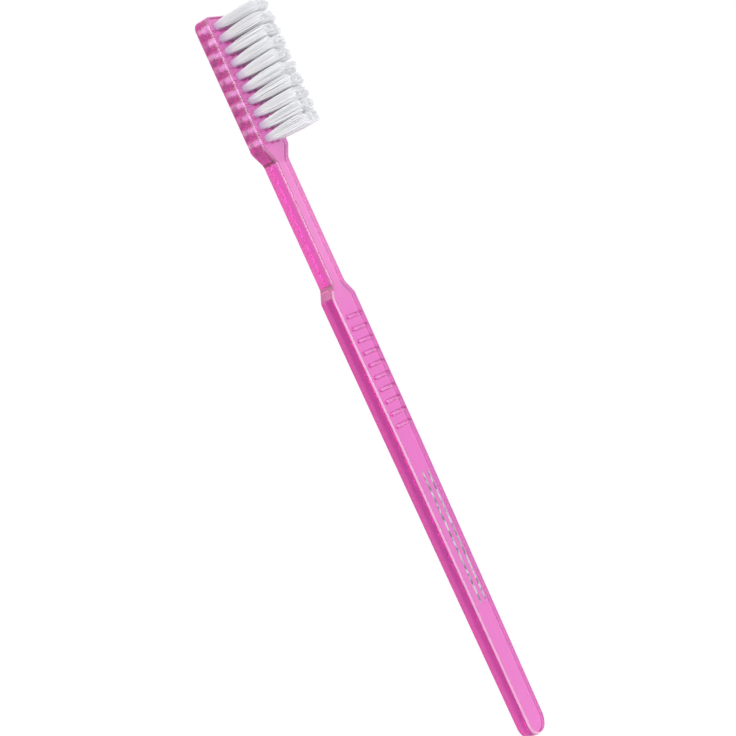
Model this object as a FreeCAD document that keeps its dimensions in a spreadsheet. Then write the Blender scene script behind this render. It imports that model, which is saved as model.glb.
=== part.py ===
import FreeCAD, Part
import math
import os

import Sketcher

# Manual toothbrush: one clear moulded handle, thirty folded nylon tufts in three rows,
# and the small metal anchor plates that hold each tuft in its blind hole.
# X runs from the head (-X) to the tail (+X), the bristles point to +Z, the flat back is Z = 0.

# Alias, value in millimetres, degrees or pieces, and what it measures.
SIZES = [
    ("overall_length", 180.0, "tip of the head to the end of the tail"),
    ("body_thickness", 4.0, "flat back to flat face at head, neck and grip"),
    ("tail_drop", 0.5, "how far the face has fallen at the tail"),
    ("tail_fall_length", 72.0, "length of the falling part of the face"),
    ("head_width", 11.5, "across the head"),
    ("tip_radius", 2.4, "corner of the head tip, in plan"),
    ("tip_margin", 2.65, "head tip to the first row of holes"),
    ("heel_margin", 1.55, "last row of holes to the start of the heel curve"),
    ("heel_outer_radius", 1.2, "heel curve on the head side"),
    ("heel_angle", 40.0, "slope of the heel, in plan"),
    ("heel_inner_radius", 1.6, "heel curve on the neck side"),
    ("neck_width", 6.0, "across the neck"),
    ("neck_length", 34.4, "start of the heel to the start of the flare"),
    ("flare_inner_radius", 1.0, "flare curve on the neck side"),
    ("flare_angle", 36.0, "slope of the flare, in plan"),
    ("flare_outer_radius", 1.5, "flare curve on the grip side"),
    ("grip_width", 10.5, "across the grip, just behind the flare"),
    ("tail_width", 8.3, "across the tail, where its corners start"),
    ("tail_radius", 3.5, "corner of the tail, in plan"),
    ("face_edge_radius", 0.5, "rounded edge all round the face"),
    ("back_edge_radius", 0.5, "rounded edge all round the back"),
    ("rib_count", 10, "thumb ribs across the grip"),
    ("rib_setback", 8.6, "start of the flare to the first rib"),
    ("rib_pitch", 3.03, "rib to rib"),
    ("rib_radius", 0.6, "round back of a rib"),
    ("rib_height", 0.4, "face to the back of a rib"),
    ("rib_margin", 1.5, "end of a rib to the side of the grip, at the flare"),
    ("rib_nose_radius", 0.25, "flat at the end of a rib"),
    ("rib_nose_length", 0.35, "slope at the end of a rib"),
    ("tuft_columns", 10, "tufts in a row"),
    ("tuft_pitch", 3.12, "tuft to tuft along a row"),
    ("cross_pitch", 2.65, "tuft to tuft across the head"),
    ("hole_diameter", 1.8, "tuft hole"),
    ("floor_thickness", 1.1, "back to the bottom of a hole"),
    ("tuft_clearance", 0.03, "tuft to the wall and floor of its hole"),
    ("bristle_height", 11.8, "face to the trimmed tips"),
    ("tip_gap", 0.12, "neighbouring tufts apart at the trimmed tips"),
    ("fold_height", 0.35, "folded filaments under an anchor"),
    ("anchor_bite", 0.22, "anchor end into the wall of the hole"),
    ("anchor_thickness", 0.26, "anchor plate"),
    ("anchor_height", 1.3, "anchor plate"),
    ("anchor_clearance", 0.02, "anchor plate to what holds it"),
]

# Front row to rear row, seen from the side of the brush.
ROWS = [("front", -1), ("middle", 0), ("rear", 1)]

# Flats round a bundle of filaments, half the turn between two of them,
# and how far its corner flats stand out at the tips: the other flats' two reaches together times this.
TUFT_SIDES = 8
HALF_FLAT = 180 / TUFT_SIDES
CORNER_REACH = 0.55

# Two points nearer than this, in millimetres, are the same place.
SAME_PLACE = 1e-6

# Blank left round the sketched tail cut, so that its outer sides lie clear of the handle.
CUT_OVERRUN = 2.0

# Points of a sketched edge, and the axis and origin of a sketch, as the sketcher numbers them.
START, END, CENTER = range(1, 4)
AXIS, ORIGIN_POINT = -START, START

doc = FreeCAD.newDocument("toothbrush")
sheet = doc.addObject("Spreadsheet::Sheet", "Sizes")
value = {}
for entry, (alias, number, meaning) in enumerate(SIZES, start=1):
    sheet.set("A%d" % entry, meaning)
    sheet.set("B%d" % entry, str(number))
    sheet.setAlias("B%d" % entry, alias)
    value[alias] = number
doc.recompute()

# Places along the brush, from the head tip, that several pieces share.
HEEL = "(Sizes.tip_margin + (Sizes.tuft_columns - 1) * Sizes.tuft_pitch + Sizes.heel_margin)"
FLARE = "(%s + Sizes.neck_length)" % HEEL
HOLE_DEPTH = "(Sizes.body_thickness - Sizes.floor_thickness)"
ANCHOR_LENGTH = "(Sizes.hole_diameter + 2 * Sizes.anchor_bite)"
ROOT_RADIUS = "(Sizes.hole_diameter / 2 - Sizes.tuft_clearance)"
MOUTH_FLAT = "(%s * cos(%g deg))" % (ROOT_RADIUS, HALF_FLAT)
TIP_ALONG = "((Sizes.tuft_pitch - Sizes.tip_gap) / 2)"
TIP_ACROSS = "((Sizes.cross_pitch - Sizes.tip_gap) / 2)"
TIP_DIAGONAL = "(%g * (%s + %s))" % (CORNER_REACH, TIP_ALONG, TIP_ACROSS)


def bind(item, expressions):
    """Tie an object's properties to the sheet."""
    for name, expression in expressions.items():
        item.setExpression(name, expression)


def measured(sketch, name, constraint, expression):
    """Add one named dimension to a sketch and tie it to the sheet."""
    index = sketch.addConstraint(constraint)
    sketch.renameConstraint(index, name)
    sketch.setExpression("Constraints." + name, expression)


def origin_plane(body, role):
    return next(item for item in body.Origin.OriginFeatures if item.Role == role)


def new_sketch(body, name, role):
    sketch = body.newObject("Sketcher::SketchObject", name)
    sketch.AttachmentSupport = (origin_plane(body, role), [""])
    sketch.MapMode = "FlatFace"
    return sketch


def line(start, end):
    return Part.LineSegment(FreeCAD.Vector(start[0], start[1], 0), FreeCAD.Vector(end[0], end[1], 0))


def arc(center, radius, first_degrees, last_degrees):
    circle = Part.Circle(FreeCAD.Vector(center[0], center[1], 0), FreeCAD.Vector(0, 0, 1), radius)
    return Part.ArcOfCircle(circle, math.radians(first_degrees), math.radians(last_degrees))


def half_outline(body):
    """Plan of one side of the handle: tip, head, heel, neck, flare, tapering grip and tail."""
    sketch = new_sketch(body, "half_outline", "XY_Plane")
    v = value
    head, neck = v["head_width"] / 2, v["neck_width"] / 2
    grip, tail = v["grip_width"] / 2, v["tail_width"] / 2
    length, tip, end = v["overall_length"], v["tip_radius"], v["tail_radius"]
    heel = v["tip_margin"] + (v["tuft_columns"] - 1) * v["tuft_pitch"] + v["heel_margin"]
    outer, inner, slope = v["heel_outer_radius"], v["heel_inner_radius"], math.radians(v["heel_angle"])
    heel_fall = (head - neck - (outer + inner) * (1 - math.cos(slope))) / math.tan(slope)
    heel_top = (heel + outer * math.sin(slope), head - outer * (1 - math.cos(slope)))
    neck_start = heel_top[0] + heel_fall + inner * math.sin(slope)
    heel_foot = (neck_start - inner * math.sin(slope), neck + inner * (1 - math.cos(slope)))
    flare = heel + v["neck_length"]
    root, shoulder, rise = v["flare_inner_radius"], v["flare_outer_radius"], math.radians(v["flare_angle"])
    flare_foot = (flare + root * math.sin(rise), neck + root * (1 - math.cos(rise)))
    taper = math.atan2(grip - tail, length - end - flare)
    shoulder_y = grip - shoulder * math.cos(taper)
    flare_top_y = shoulder_y + shoulder * math.cos(rise)
    flare_top = (flare_foot[0] + (flare_top_y - flare_foot[1]) / math.tan(rise), flare_top_y)
    shoulder_x = flare_top[0] + shoulder * math.sin(rise)
    grip_start = (shoulder_x + shoulder * math.sin(taper), grip)
    grip_end = (length - end + end * math.sin(taper), tail)
    tail_y = tail - end * math.cos(taper)
    taper_deg = math.degrees(taper)

    sketch.addGeometry([
        line((0, 0), (0, head - tip)),
        arc((tip, head - tip), tip, 90, 180),
        line((tip, head), (heel, head)),
        arc((heel, head - outer), outer, 90 - v["heel_angle"], 90),
        line(heel_top, heel_foot),
        arc((neck_start, neck + inner), inner, 270 - v["heel_angle"], 270),
        line((neck_start, neck), (flare, neck)),
        arc((flare, neck + root), root, 270, 270 + v["flare_angle"]),
        line(flare_foot, flare_top),
        arc((shoulder_x, shoulder_y), shoulder, 90 - taper_deg, 90 + v["flare_angle"]),
        line(grip_start, grip_end),
        arc((length - end, tail_y), end, 0, 90 - taper_deg),
        line((length, tail_y), (length, 0)),
        line((length, 0), (0, 0)),
    ], False)
    (tip_line, tip_arc, head_side, heel_outer, heel_line, heel_inner, neck_side,
     flare_inner, flare_line, flare_outer, grip_side, tail_arc, tail_line, middle) = range(14)
    smooth = [
        (tip_line, END, tip_arc, END), (tip_arc, START, head_side, START),
        (head_side, END, heel_outer, END), (heel_outer, START, heel_line, START),
        (heel_line, END, heel_inner, START), (heel_inner, END, neck_side, START),
        (neck_side, END, flare_inner, START), (flare_inner, END, flare_line, START),
        (flare_line, END, flare_outer, END), (flare_outer, START, grip_side, START),
        (grip_side, END, tail_arc, END), (tail_arc, START, tail_line, START),
    ]
    for join in smooth:
        sketch.addConstraint(Sketcher.Constraint("Tangent", *join))
    sketch.addConstraint([
        Sketcher.Constraint("Coincident", tail_line, END, middle, START),
        Sketcher.Constraint("Coincident", middle, END, tip_line, START),
        Sketcher.Constraint("Coincident", middle, END, AXIS, ORIGIN_POINT),
        Sketcher.Constraint("PointOnObject", middle, START, AXIS),
        Sketcher.Constraint("Vertical", tip_line),
        Sketcher.Constraint("Horizontal", head_side),
        Sketcher.Constraint("Horizontal", neck_side),
        Sketcher.Constraint("Vertical", tail_line),
    ])

    def along(name, edge, end_point, number, expression):
        place = Sketcher.Constraint("DistanceX", AXIS, ORIGIN_POINT, edge, end_point, number)
        measured(sketch, name, place, expression)

    def across(name, edge, end_point, number, expression):
        place = Sketcher.Constraint("DistanceY", AXIS, ORIGIN_POINT, edge, end_point, number)
        measured(sketch, name, place, expression)

    def rounding(name, edge, number):
        measured(sketch, name, Sketcher.Constraint("Radius", edge, number), "Sizes." + name)

    along("heel_place", head_side, END, heel, HEEL)
    along("flare_place", neck_side, END, flare, FLARE)
    along("tail_place", middle, START, length, "Sizes.overall_length")
    across("half_head", head_side, END, head, "Sizes.head_width / 2")
    across("half_neck", neck_side, END, neck, "Sizes.neck_width / 2")
    across("half_grip", grip_side, START, grip, "Sizes.grip_width / 2")
    across("half_tail", grip_side, END, tail, "Sizes.tail_width / 2")
    rounding("tip_radius", tip_arc, tip)
    rounding("heel_outer_radius", heel_outer, outer)
    rounding("heel_inner_radius", heel_inner, inner)
    rounding("flare_inner_radius", flare_inner, root)
    rounding("flare_outer_radius", flare_outer, shoulder)
    rounding("tail_radius", tail_arc, end)
    measured(sketch, "heel_slope", Sketcher.Constraint("Angle", heel_line, -slope), "-Sizes.heel_angle")
    measured(sketch, "flare_slope", Sketcher.Constraint("Angle", flare_line, rise), "Sizes.flare_angle")
    return sketch


def tail_fall(body):
    """Side view of the thin wedge that is taken off the face towards the tail."""
    sketch = new_sketch(body, "tail_fall", "XZ_Plane")
    length, top = value["overall_length"], value["body_thickness"]
    first, low = length - value["tail_fall_length"], top - value["tail_drop"]
    far, high = length + CUT_OVERRUN, top + CUT_OVERRUN
    corners = [(first, top), (length, low), (far, low), (far, high), (first, high)]
    count = len(corners)
    sketch.addGeometry([line(corners[k], corners[(k + 1) % count]) for k in range(count)], False)
    for k in range(count):
        sketch.addConstraint(Sketcher.Constraint("Coincident", k, END, (k + 1) % count, START))
    slope, foot, back, lid, front = range(count)
    sketch.addConstraint([
        Sketcher.Constraint("Horizontal", foot),
        Sketcher.Constraint("Vertical", back),
        Sketcher.Constraint("Horizontal", lid),
        Sketcher.Constraint("Vertical", front),
    ])
    origin = (AXIS, ORIGIN_POINT)
    places = [
        ("fall_start", "DistanceX", slope, START, first, "Sizes.overall_length - Sizes.tail_fall_length"),
        ("fall_level", "DistanceY", slope, START, top, "Sizes.body_thickness"),
        ("tail_end", "DistanceX", foot, START, length, "Sizes.overall_length"),
        ("tail_level", "DistanceY", foot, START, low, "Sizes.body_thickness - Sizes.tail_drop"),
        ("past_tail", "DistanceX", foot, END, far, "Sizes.overall_length + %g" % CUT_OVERRUN),
        ("past_face", "DistanceY", lid, END, high, "Sizes.body_thickness + %g" % CUT_OVERRUN),
    ]
    for name, kind, edge, point, number, expression in places:
        measured(sketch, name, Sketcher.Constraint(kind, *origin, edge, point, number), expression)
    return sketch


def tuft_holes(body):
    """First hole of each of the three rows."""
    sketch = new_sketch(body, "tuft_holes", "XY_Plane")
    sketch.setExpression("AttachmentOffset.Base.z", "Sizes.body_thickness")
    for index, (row, side) in enumerate(ROWS):
        center = FreeCAD.Vector(value["tip_margin"], side * value["cross_pitch"], 0)
        radius = value["hole_diameter"] / 2
        sketch.addGeometry(Part.Circle(center, FreeCAD.Vector(0, 0, 1), radius), False)
        along = Sketcher.Constraint("DistanceX", AXIS, ORIGIN_POINT, index, CENTER, center.x)
        measured(sketch, row + "_place", along, "Sizes.tip_margin")
        if side:
            across = Sketcher.Constraint("DistanceY", AXIS, ORIGIN_POINT, index, CENTER, center.y)
            measured(sketch, row + "_side", across, "%d * Sizes.cross_pitch" % side)
        else:
            sketch.addConstraint(Sketcher.Constraint("PointOnObject", index, CENTER, AXIS))
        bore = Sketcher.Constraint("Diameter", index, 2 * radius)
        measured(sketch, row + "_bore", bore, "Sizes.hole_diameter")
    return sketch


def anchor_slits(body):
    """Slits that the anchor ends press into both walls on their way down the first hole of each row."""
    sketch = new_sketch(body, "anchor_slits", "XY_Plane")
    sketch.setExpression("AttachmentOffset.Base.z", "Sizes.body_thickness")
    length = value["hole_diameter"] + 2 * (value["anchor_bite"] + value["anchor_clearance"])
    width = value["anchor_thickness"] + 2 * value["anchor_clearance"]
    for index, (row, side) in enumerate(ROWS):
        x, y = value["tip_margin"] - length / 2, side * value["cross_pitch"] - width / 2
        corners = [(x, y), (x + length, y), (x + length, y + width), (x, y + width)]
        low, right, high, left = range(4 * index, 4 * index + 4)
        sketch.addGeometry([line(corners[k], corners[(k + 1) % 4]) for k in range(4)], False)
        sketch.addConstraint([
            Sketcher.Constraint("Coincident", low, END, right, START),
            Sketcher.Constraint("Coincident", right, END, high, START),
            Sketcher.Constraint("Coincident", high, END, left, START),
            Sketcher.Constraint("Coincident", left, END, low, START),
            Sketcher.Constraint("Horizontal", low),
            Sketcher.Constraint("Vertical", right),
            Sketcher.Constraint("Horizontal", high),
            Sketcher.Constraint("Vertical", left),
        ])
        row_middle = "%d * Sizes.cross_pitch" % side
        half_width = "(Sizes.anchor_thickness / 2 + Sizes.anchor_clearance)"
        half_length = "(%s / 2 + Sizes.anchor_clearance)" % ANCHOR_LENGTH
        origin = (AXIS, ORIGIN_POINT)
        places = [
            ("near", "DistanceX", low, START, x, "Sizes.tip_margin - " + half_length),
            ("far", "DistanceX", low, END, x + length, "Sizes.tip_margin + " + half_length),
            ("low", "DistanceY", low, START, y, row_middle + " - " + half_width),
            ("high", "DistanceY", high, START, y + width, row_middle + " + " + half_width),
        ]
        for name, kind, edge, point, number, expression in places:
            place = Sketcher.Constraint(kind, *origin, edge, point, number)
            measured(sketch, "%s_%s" % (row, name), place, expression)
    return sketch


def rib_section(body):
    """Half of a round bar with sloped ends that lies across the grip, its axis on the sketch's H axis."""
    sketch = new_sketch(body, "rib_section", "YZ_Plane")
    bind(sketch, {
        "AttachmentOffset.Base.z": FLARE + " + Sizes.rib_setback",
        "AttachmentOffset.Base.y": "Sizes.body_thickness + Sizes.rib_height - Sizes.rib_radius",
    })
    v = value
    reach, slope = v["grip_width"] / 2 - v["rib_margin"], v["rib_nose_length"]
    nose, back = v["rib_nose_radius"], v["rib_radius"]
    half_profile = [(reach - slope, back), (reach, nose), (reach, 0)]
    corners = [(-across, up) for across, up in reversed(half_profile)] + half_profile
    count = len(corners)
    sketch.addGeometry([line(corners[k], corners[(k + 1) % count]) for k in range(count)], False)
    for k in range(count):
        sketch.addConstraint(Sketcher.Constraint("Coincident", k, END, (k + 1) % count, START))
    left_nose, left_slope, ridge, right_slope, right_nose, axis = range(count)
    sketch.addConstraint([
        Sketcher.Constraint("Horizontal", ridge),
        Sketcher.Constraint("Vertical", left_nose),
        Sketcher.Constraint("Vertical", right_nose),
        Sketcher.Constraint("PointOnObject", axis, START, AXIS),
        Sketcher.Constraint("PointOnObject", axis, END, AXIS),
    ])
    half = "Sizes.grip_width / 2 - Sizes.rib_margin"
    origin = (AXIS, ORIGIN_POINT)
    places = [
        ("right_end", "DistanceX", (*origin, axis, START), reach, half),
        ("left_end", "DistanceX", (axis, END, *origin), reach, half),
        ("right_run", "DistanceX", (right_slope, START, right_slope, END), slope, "Sizes.rib_nose_length"),
        ("left_run", "DistanceX", (left_slope, START, left_slope, END), slope, "Sizes.rib_nose_length"),
        ("back", "DistanceY", (*origin, ridge, START), back, "Sizes.rib_radius"),
        ("left_flat", "DistanceY", (*origin, left_nose, END), nose, "Sizes.rib_nose_radius"),
        ("right_flat", "DistanceY", (*origin, right_nose, START), nose, "Sizes.rib_nose_radius"),
    ]
    for name, kind, points, number, expression in places:
        measured(sketch, name, Sketcher.Constraint(kind, *points, number), expression)
    return sketch


def along_body(body, name, feature, count, pitch):
    """Repeat a cut or a rib along the brush."""
    pattern = body.newObject("PartDesign::LinearPattern", name)
    pattern.Originals = [feature]
    pattern.Direction = (next(a for a in body.Origin.OriginFeatures if a.Role == "X_Axis"), [""])
    pattern.Mode = "Spacing"
    bind(pattern, {"Occurrences": "Sizes." + count, "Offset": "Sizes." + pitch})
    body.Tip = pattern
    doc.recompute()
    return pattern


def pocket(body, name, sketch, depth):
    cut = body.newObject("PartDesign::Pocket", name)
    cut.Profile = sketch
    cut.setExpression("Length", depth)
    doc.recompute()
    return cut


def rim_edges(shape, on_back):
    """Names of the edges round the back, or round the face, without the seam across the face."""
    names = []
    for index, edge in enumerate(shape.Edges, start=1):
        first, last = (edge.valueAt(parameter) for parameter in edge.ParameterRange)
        upright = abs(first.z - last.z) > 0.5 * edge.Length
        crosses = abs(first.x - last.x) < SAME_PLACE < first.x < value["overall_length"] - SAME_PLACE
        seam = crosses and abs(first.z - value["body_thickness"]) < SAME_PLACE
        low = max(first.z, last.z) < SAME_PLACE
        if not upright and not seam and low == on_back:
            names.append("Edge%d" % index)
    return names


def rounded(body, name, base, on_back, radius):
    fillet = body.newObject("PartDesign::Fillet", name)
    fillet.Base = (base, rim_edges(base.Shape, on_back))
    fillet.setExpression("Radius", "Sizes." + radius)
    doc.recompute()
    return fillet


def make_handle():
    """One moulding: head plate with its blind holes, slim neck, flared grip, thumb ribs, tail."""
    body = doc.addObject("PartDesign::Body", "handle")
    body.Label = "handle"
    body.setExpression("Placement.Base.x", "-Sizes.overall_length / 2")
    half = body.newObject("PartDesign::Pad", "half_plate")
    half.Profile = half_outline(body)
    half.setExpression("Length", "Sizes.body_thickness")
    doc.recompute()
    plate = body.newObject("PartDesign::Mirrored", "plate")
    plate.Originals = [half]
    plate.MirrorPlane = (origin_plane(body, "XZ_Plane"), [""])
    plate.Refine = True
    body.Tip = plate
    doc.recompute()
    fall = body.newObject("PartDesign::Pocket", "face_fall")
    fall.Profile = tail_fall(body)
    fall.SideType = "Symmetric"
    fall.Type = "Length"
    fall.setExpression("Length", "2 * max(Sizes.head_width; Sizes.grip_width)")
    doc.recompute()
    back_rim = rounded(body, "back_rim", fall, True, "back_edge_radius")
    rounded(body, "face_rim", back_rim, False, "face_edge_radius")
    holes = pocket(body, "first_holes", tuft_holes(body), HOLE_DEPTH)
    along_body(body, "hole_rows", holes, "tuft_columns", "tuft_pitch")
    slit_depth = HOLE_DEPTH + " - Sizes.fold_height + Sizes.anchor_clearance"
    slits = pocket(body, "first_slits", anchor_slits(body), slit_depth)
    along_body(body, "slit_rows", slits, "tuft_columns", "tuft_pitch")
    rib = body.newObject("PartDesign::Revolution", "first_rib")
    rib.Profile = rib_section(body)
    rib.ReferenceAxis = (rib.Profile[0], ["H_Axis"])
    rib.Angle = 360
    doc.recompute()
    along_body(body, "thumb_ribs", rib, "rib_count", "rib_pitch")
    return body


def turned(degrees):
    return FreeCAD.Rotation(FreeCAD.Vector(0, 0, 1), degrees)


def fan(name, degrees, half_along, half_across):
    """Four flats that spread from the mouth of a hole to the tips, turned about the tuft's axis."""
    wedge = doc.addObject("Part::Wedge", name)
    upright = FreeCAD.Rotation(FreeCAD.Vector(1, 0, 0), 90)
    wedge.Placement = FreeCAD.Placement(FreeCAD.Vector(), turned(degrees) * upright)
    bind(wedge, {"Ymin": "Sizes.body_thickness", "Ymax": "Sizes.body_thickness + Sizes.bristle_height"})
    for axis, half in (("X", MOUTH_FLAT), ("Z", MOUTH_FLAT), ("X2", half_along), ("Z2", half_across)):
        bind(wedge, {axis + "min": "-" + half, axis + "max": half})
    return wedge


def make_tufts():
    """Thirty tufts: filaments folded under the anchor, straight in the hole, fanning to the tips."""
    root = doc.addObject("Part::Prism", "tuft_root")
    root.Polygon = TUFT_SIDES
    root.Placement.Rotation = turned(HALF_FLAT)
    bind(root, {
        "Circumradius": ROOT_RADIUS,
        "Height": HOLE_DEPTH + " - Sizes.tuft_clearance",
        "Placement.Base.z": "Sizes.floor_thickness + Sizes.tuft_clearance",
    })
    spread = doc.addObject("Part::Common", "tuft_spread")
    spread.Base = fan("tuft_fan", 0, TIP_ALONG, TIP_ACROSS)
    spread.Tool = fan("tuft_fan_turned", 2 * HALF_FLAT, TIP_DIAGONAL, TIP_DIAGONAL)
    bundle = doc.addObject("Part::Fuse", "tuft_bundle")
    bundle.Base = root
    bundle.Tool = spread
    cleft = doc.addObject("Part::Box", "tuft_cleft")
    bind(cleft, {
        "Length": ANCHOR_LENGTH,
        "Width": "Sizes.anchor_thickness + 2 * Sizes.anchor_clearance",
        "Height": "Sizes.anchor_height + 2 * Sizes.anchor_clearance",
        "Placement.Base.x": "-%s / 2" % ANCHOR_LENGTH,
        "Placement.Base.y": "-Sizes.anchor_thickness / 2 - Sizes.anchor_clearance",
        "Placement.Base.z": "Sizes.floor_thickness + Sizes.fold_height - Sizes.anchor_clearance",
    })
    tufts = []
    for row, side in ROWS:
        for column in range(int(value["tuft_columns"])):
            tuft = doc.addObject("Part::Cut", "tuft_%s_%02d" % (row, column + 1))
            tuft.Label = tuft.Name
            tuft.Base = bundle
            tuft.Tool = cleft
            place = "Sizes.tip_margin + %d * Sizes.tuft_pitch - Sizes.overall_length / 2" % column
            bind(tuft, {
                "Placement.Base.x": place,
                "Placement.Base.y": "%d * Sizes.cross_pitch" % side,
            })
            tufts.append(tuft)
    return tufts


def make_anchors():
    """Anchor plates, one for each tuft, set on edge along the brush and grouped by row."""
    groups = []
    for row, side in ROWS:
        plates = []
        for column in range(int(value["tuft_columns"])):
            plate = doc.addObject("Part::Box", "anchor_%s_%02d" % (row, column + 1))
            place = "Sizes.tip_margin + %d * Sizes.tuft_pitch - Sizes.overall_length / 2" % column
            bind(plate, {
                "Length": ANCHOR_LENGTH,
                "Width": "Sizes.anchor_thickness",
                "Height": "Sizes.anchor_height",
                "Placement.Base.x": "%s - %s / 2" % (place, ANCHOR_LENGTH),
                "Placement.Base.y": "%d * Sizes.cross_pitch - Sizes.anchor_thickness / 2" % side,
                "Placement.Base.z": "Sizes.floor_thickness + Sizes.fold_height",
            })
            plates.append(plate)
        group = doc.addObject("Part::Compound", "anchors_" + row)
        group.Label = group.Name
        group.Links = plates
        groups.append(group)
    return groups


handle = make_handle()
sub_parts = [handle] + make_tufts() + make_anchors()
doc.recompute()

for item in doc.Objects:
    if "Invalid" in item.State or "Error" in item.State:
        raise RuntimeError("%s did not build: %s" % (item.Name, item.State))
for part in sub_parts:
    if part.Shape.isNull() or not part.Shape.isValid():
        raise RuntimeError("%s has no valid shape" % part.Label)

os.makedirs("parts", exist_ok=True)
for part in sub_parts:
    part.Shape.exportStep("parts/%s.step" % part.Label)
    solids = part.Shape.Solids
    print("%s: %d solid(s), %.3f mm3" % (part.Label, len(solids), part.Shape.Volume))
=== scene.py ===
import math
import random

import bpy
from mathutils import Matrix, Vector
from mathutils.bvhtree import BVHTree


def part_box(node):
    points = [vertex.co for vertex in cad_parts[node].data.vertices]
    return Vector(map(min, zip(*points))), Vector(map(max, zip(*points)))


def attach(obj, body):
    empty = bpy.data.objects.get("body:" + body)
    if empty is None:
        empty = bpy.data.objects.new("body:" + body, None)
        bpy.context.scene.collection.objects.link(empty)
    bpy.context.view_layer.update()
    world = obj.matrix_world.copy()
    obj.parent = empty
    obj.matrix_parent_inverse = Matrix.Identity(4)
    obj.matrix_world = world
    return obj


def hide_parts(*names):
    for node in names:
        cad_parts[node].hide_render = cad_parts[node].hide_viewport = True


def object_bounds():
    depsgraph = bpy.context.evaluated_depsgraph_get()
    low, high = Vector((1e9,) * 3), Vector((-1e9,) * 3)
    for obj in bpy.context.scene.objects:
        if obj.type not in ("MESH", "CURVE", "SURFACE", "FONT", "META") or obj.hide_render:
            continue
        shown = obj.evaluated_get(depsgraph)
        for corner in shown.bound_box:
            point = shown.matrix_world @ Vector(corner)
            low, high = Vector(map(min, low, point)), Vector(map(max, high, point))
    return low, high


bl_info = {
    "name": "Manual Toothbrush",
    "version": (1, 0, 0),
    "blender": (4, 5, 0),
    "location": "View3D > Sidebar > Toothbrush",
    "description": "Clear handle, nylon tufts, anchor plates and foil of a manual toothbrush, in a studio",
    "category": "Object",
}

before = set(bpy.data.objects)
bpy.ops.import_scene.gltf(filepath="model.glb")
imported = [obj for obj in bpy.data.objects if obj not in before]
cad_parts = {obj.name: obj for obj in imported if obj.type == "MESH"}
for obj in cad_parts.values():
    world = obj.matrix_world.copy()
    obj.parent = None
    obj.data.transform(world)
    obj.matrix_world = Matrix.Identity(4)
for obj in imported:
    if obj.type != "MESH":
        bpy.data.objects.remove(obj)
CAD_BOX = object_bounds()

MM = 0.001
ROWS = ("front", "middle", "rear")
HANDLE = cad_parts["handle"]
HANDLE_SURFACE = BVHTree.FromObject(HANDLE, bpy.context.evaluated_depsgraph_get())


def face_height(along, across):
    """Height of the handle's face at a place."""
    above = Vector((along, across, CAD_BOX[1].z))
    place = HANDLE_SURFACE.ray_cast(above, Vector((0, 0, -1)))[0]
    if place is None:
        raise RuntimeError("the handle has no face there")
    return place.z


def tuft_axis(node):
    """Middle of a tuft, in plan."""
    low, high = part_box(node)
    return Vector(((low.x + high.x) / 2, (low.y + high.y) / 2, 0))


# Levels of the trimmed tips and of the face, which is level from the head to the neck.
TIP_LEVEL = CAD_BOX[1].z
NECK_PLACE = -40 * MM
FACE_LEVEL = face_height(NECK_PLACE, 0.0)
# Tuft holes: how many along the head, axis to the end of an anchor slit, floor,
# and the skin below the face that stays glossy.
TUFT_COLUMNS = 10
BORE_REACH = 1.3 * MM
BORE_FLOOR = 1.05 * MM
BORE_SKIN = 0.02 * MM
# The halves of the mould meet at this height. Behind the head the sides are painted darker above it on the
# grip, brighter above it on the neck and lighter below it, changing across this much to either side.
PARTING_LEVEL = 1.6 * MM
PARTING_FADE = 0.3 * MM
# Depth of the rounded edge of the face, and where and how far the face falls towards the tail.
RIM_DEPTH = 0.45 * MM
FALL_START = 18 * MM
FALL_DROP = 0.5 * MM
# Where the neck starts, the middle and half length of the sloped facets of the flare that ends it,
# its half width, and how far to either side of the flare the cloud in the face changes.
HEEL_PLACE = -53 * MM
FLARE_PLACE = -21.5 * MM
FLARE_HALF = 1.5 * MM
NECK_HALF = 3.1 * MM
FACE_FADE = 9 * MM
# Band of painted light down each side of the head beside a hole: half width, fade, and its distance
# from the middle of the head, beyond which lies only the side.
BAND_HALF = 0.35 * MM
BAND_FADE = 0.55 * MM
BAND_INNER = 4.9 * MM


def linear(code):
    """Linear colour of an sRGB hex code."""
    parts = [int(code[k:k + 2], 16) / 255 for k in (1, 3, 5)]
    return tuple(p / 12.92 if p <= 0.04045 else ((p + 0.055) / 1.055) ** 2.4 for p in parts)


def colour_setting(title, meaning, code, least=0.0, most=1.0):
    """A colour property, from an sRGB hex code."""
    return bpy.props.FloatVectorProperty(
        name=title, description=meaning, subtype="COLOR", size=3, min=least, max=most,
        default=linear(code))


def share_setting(title, meaning, value):
    """A property between none and all."""
    return bpy.props.FloatProperty(
        name=title, description=meaning, default=value, min=0.0, max=1.0, subtype="FACTOR")


def length_setting(title, meaning, millimetres, least=0.0):
    """A length property, from millimetres."""
    return bpy.props.FloatProperty(
        name=title, description=meaning, default=millimetres * MM, min=least * MM, precision=5,
        unit="LENGTH")


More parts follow.
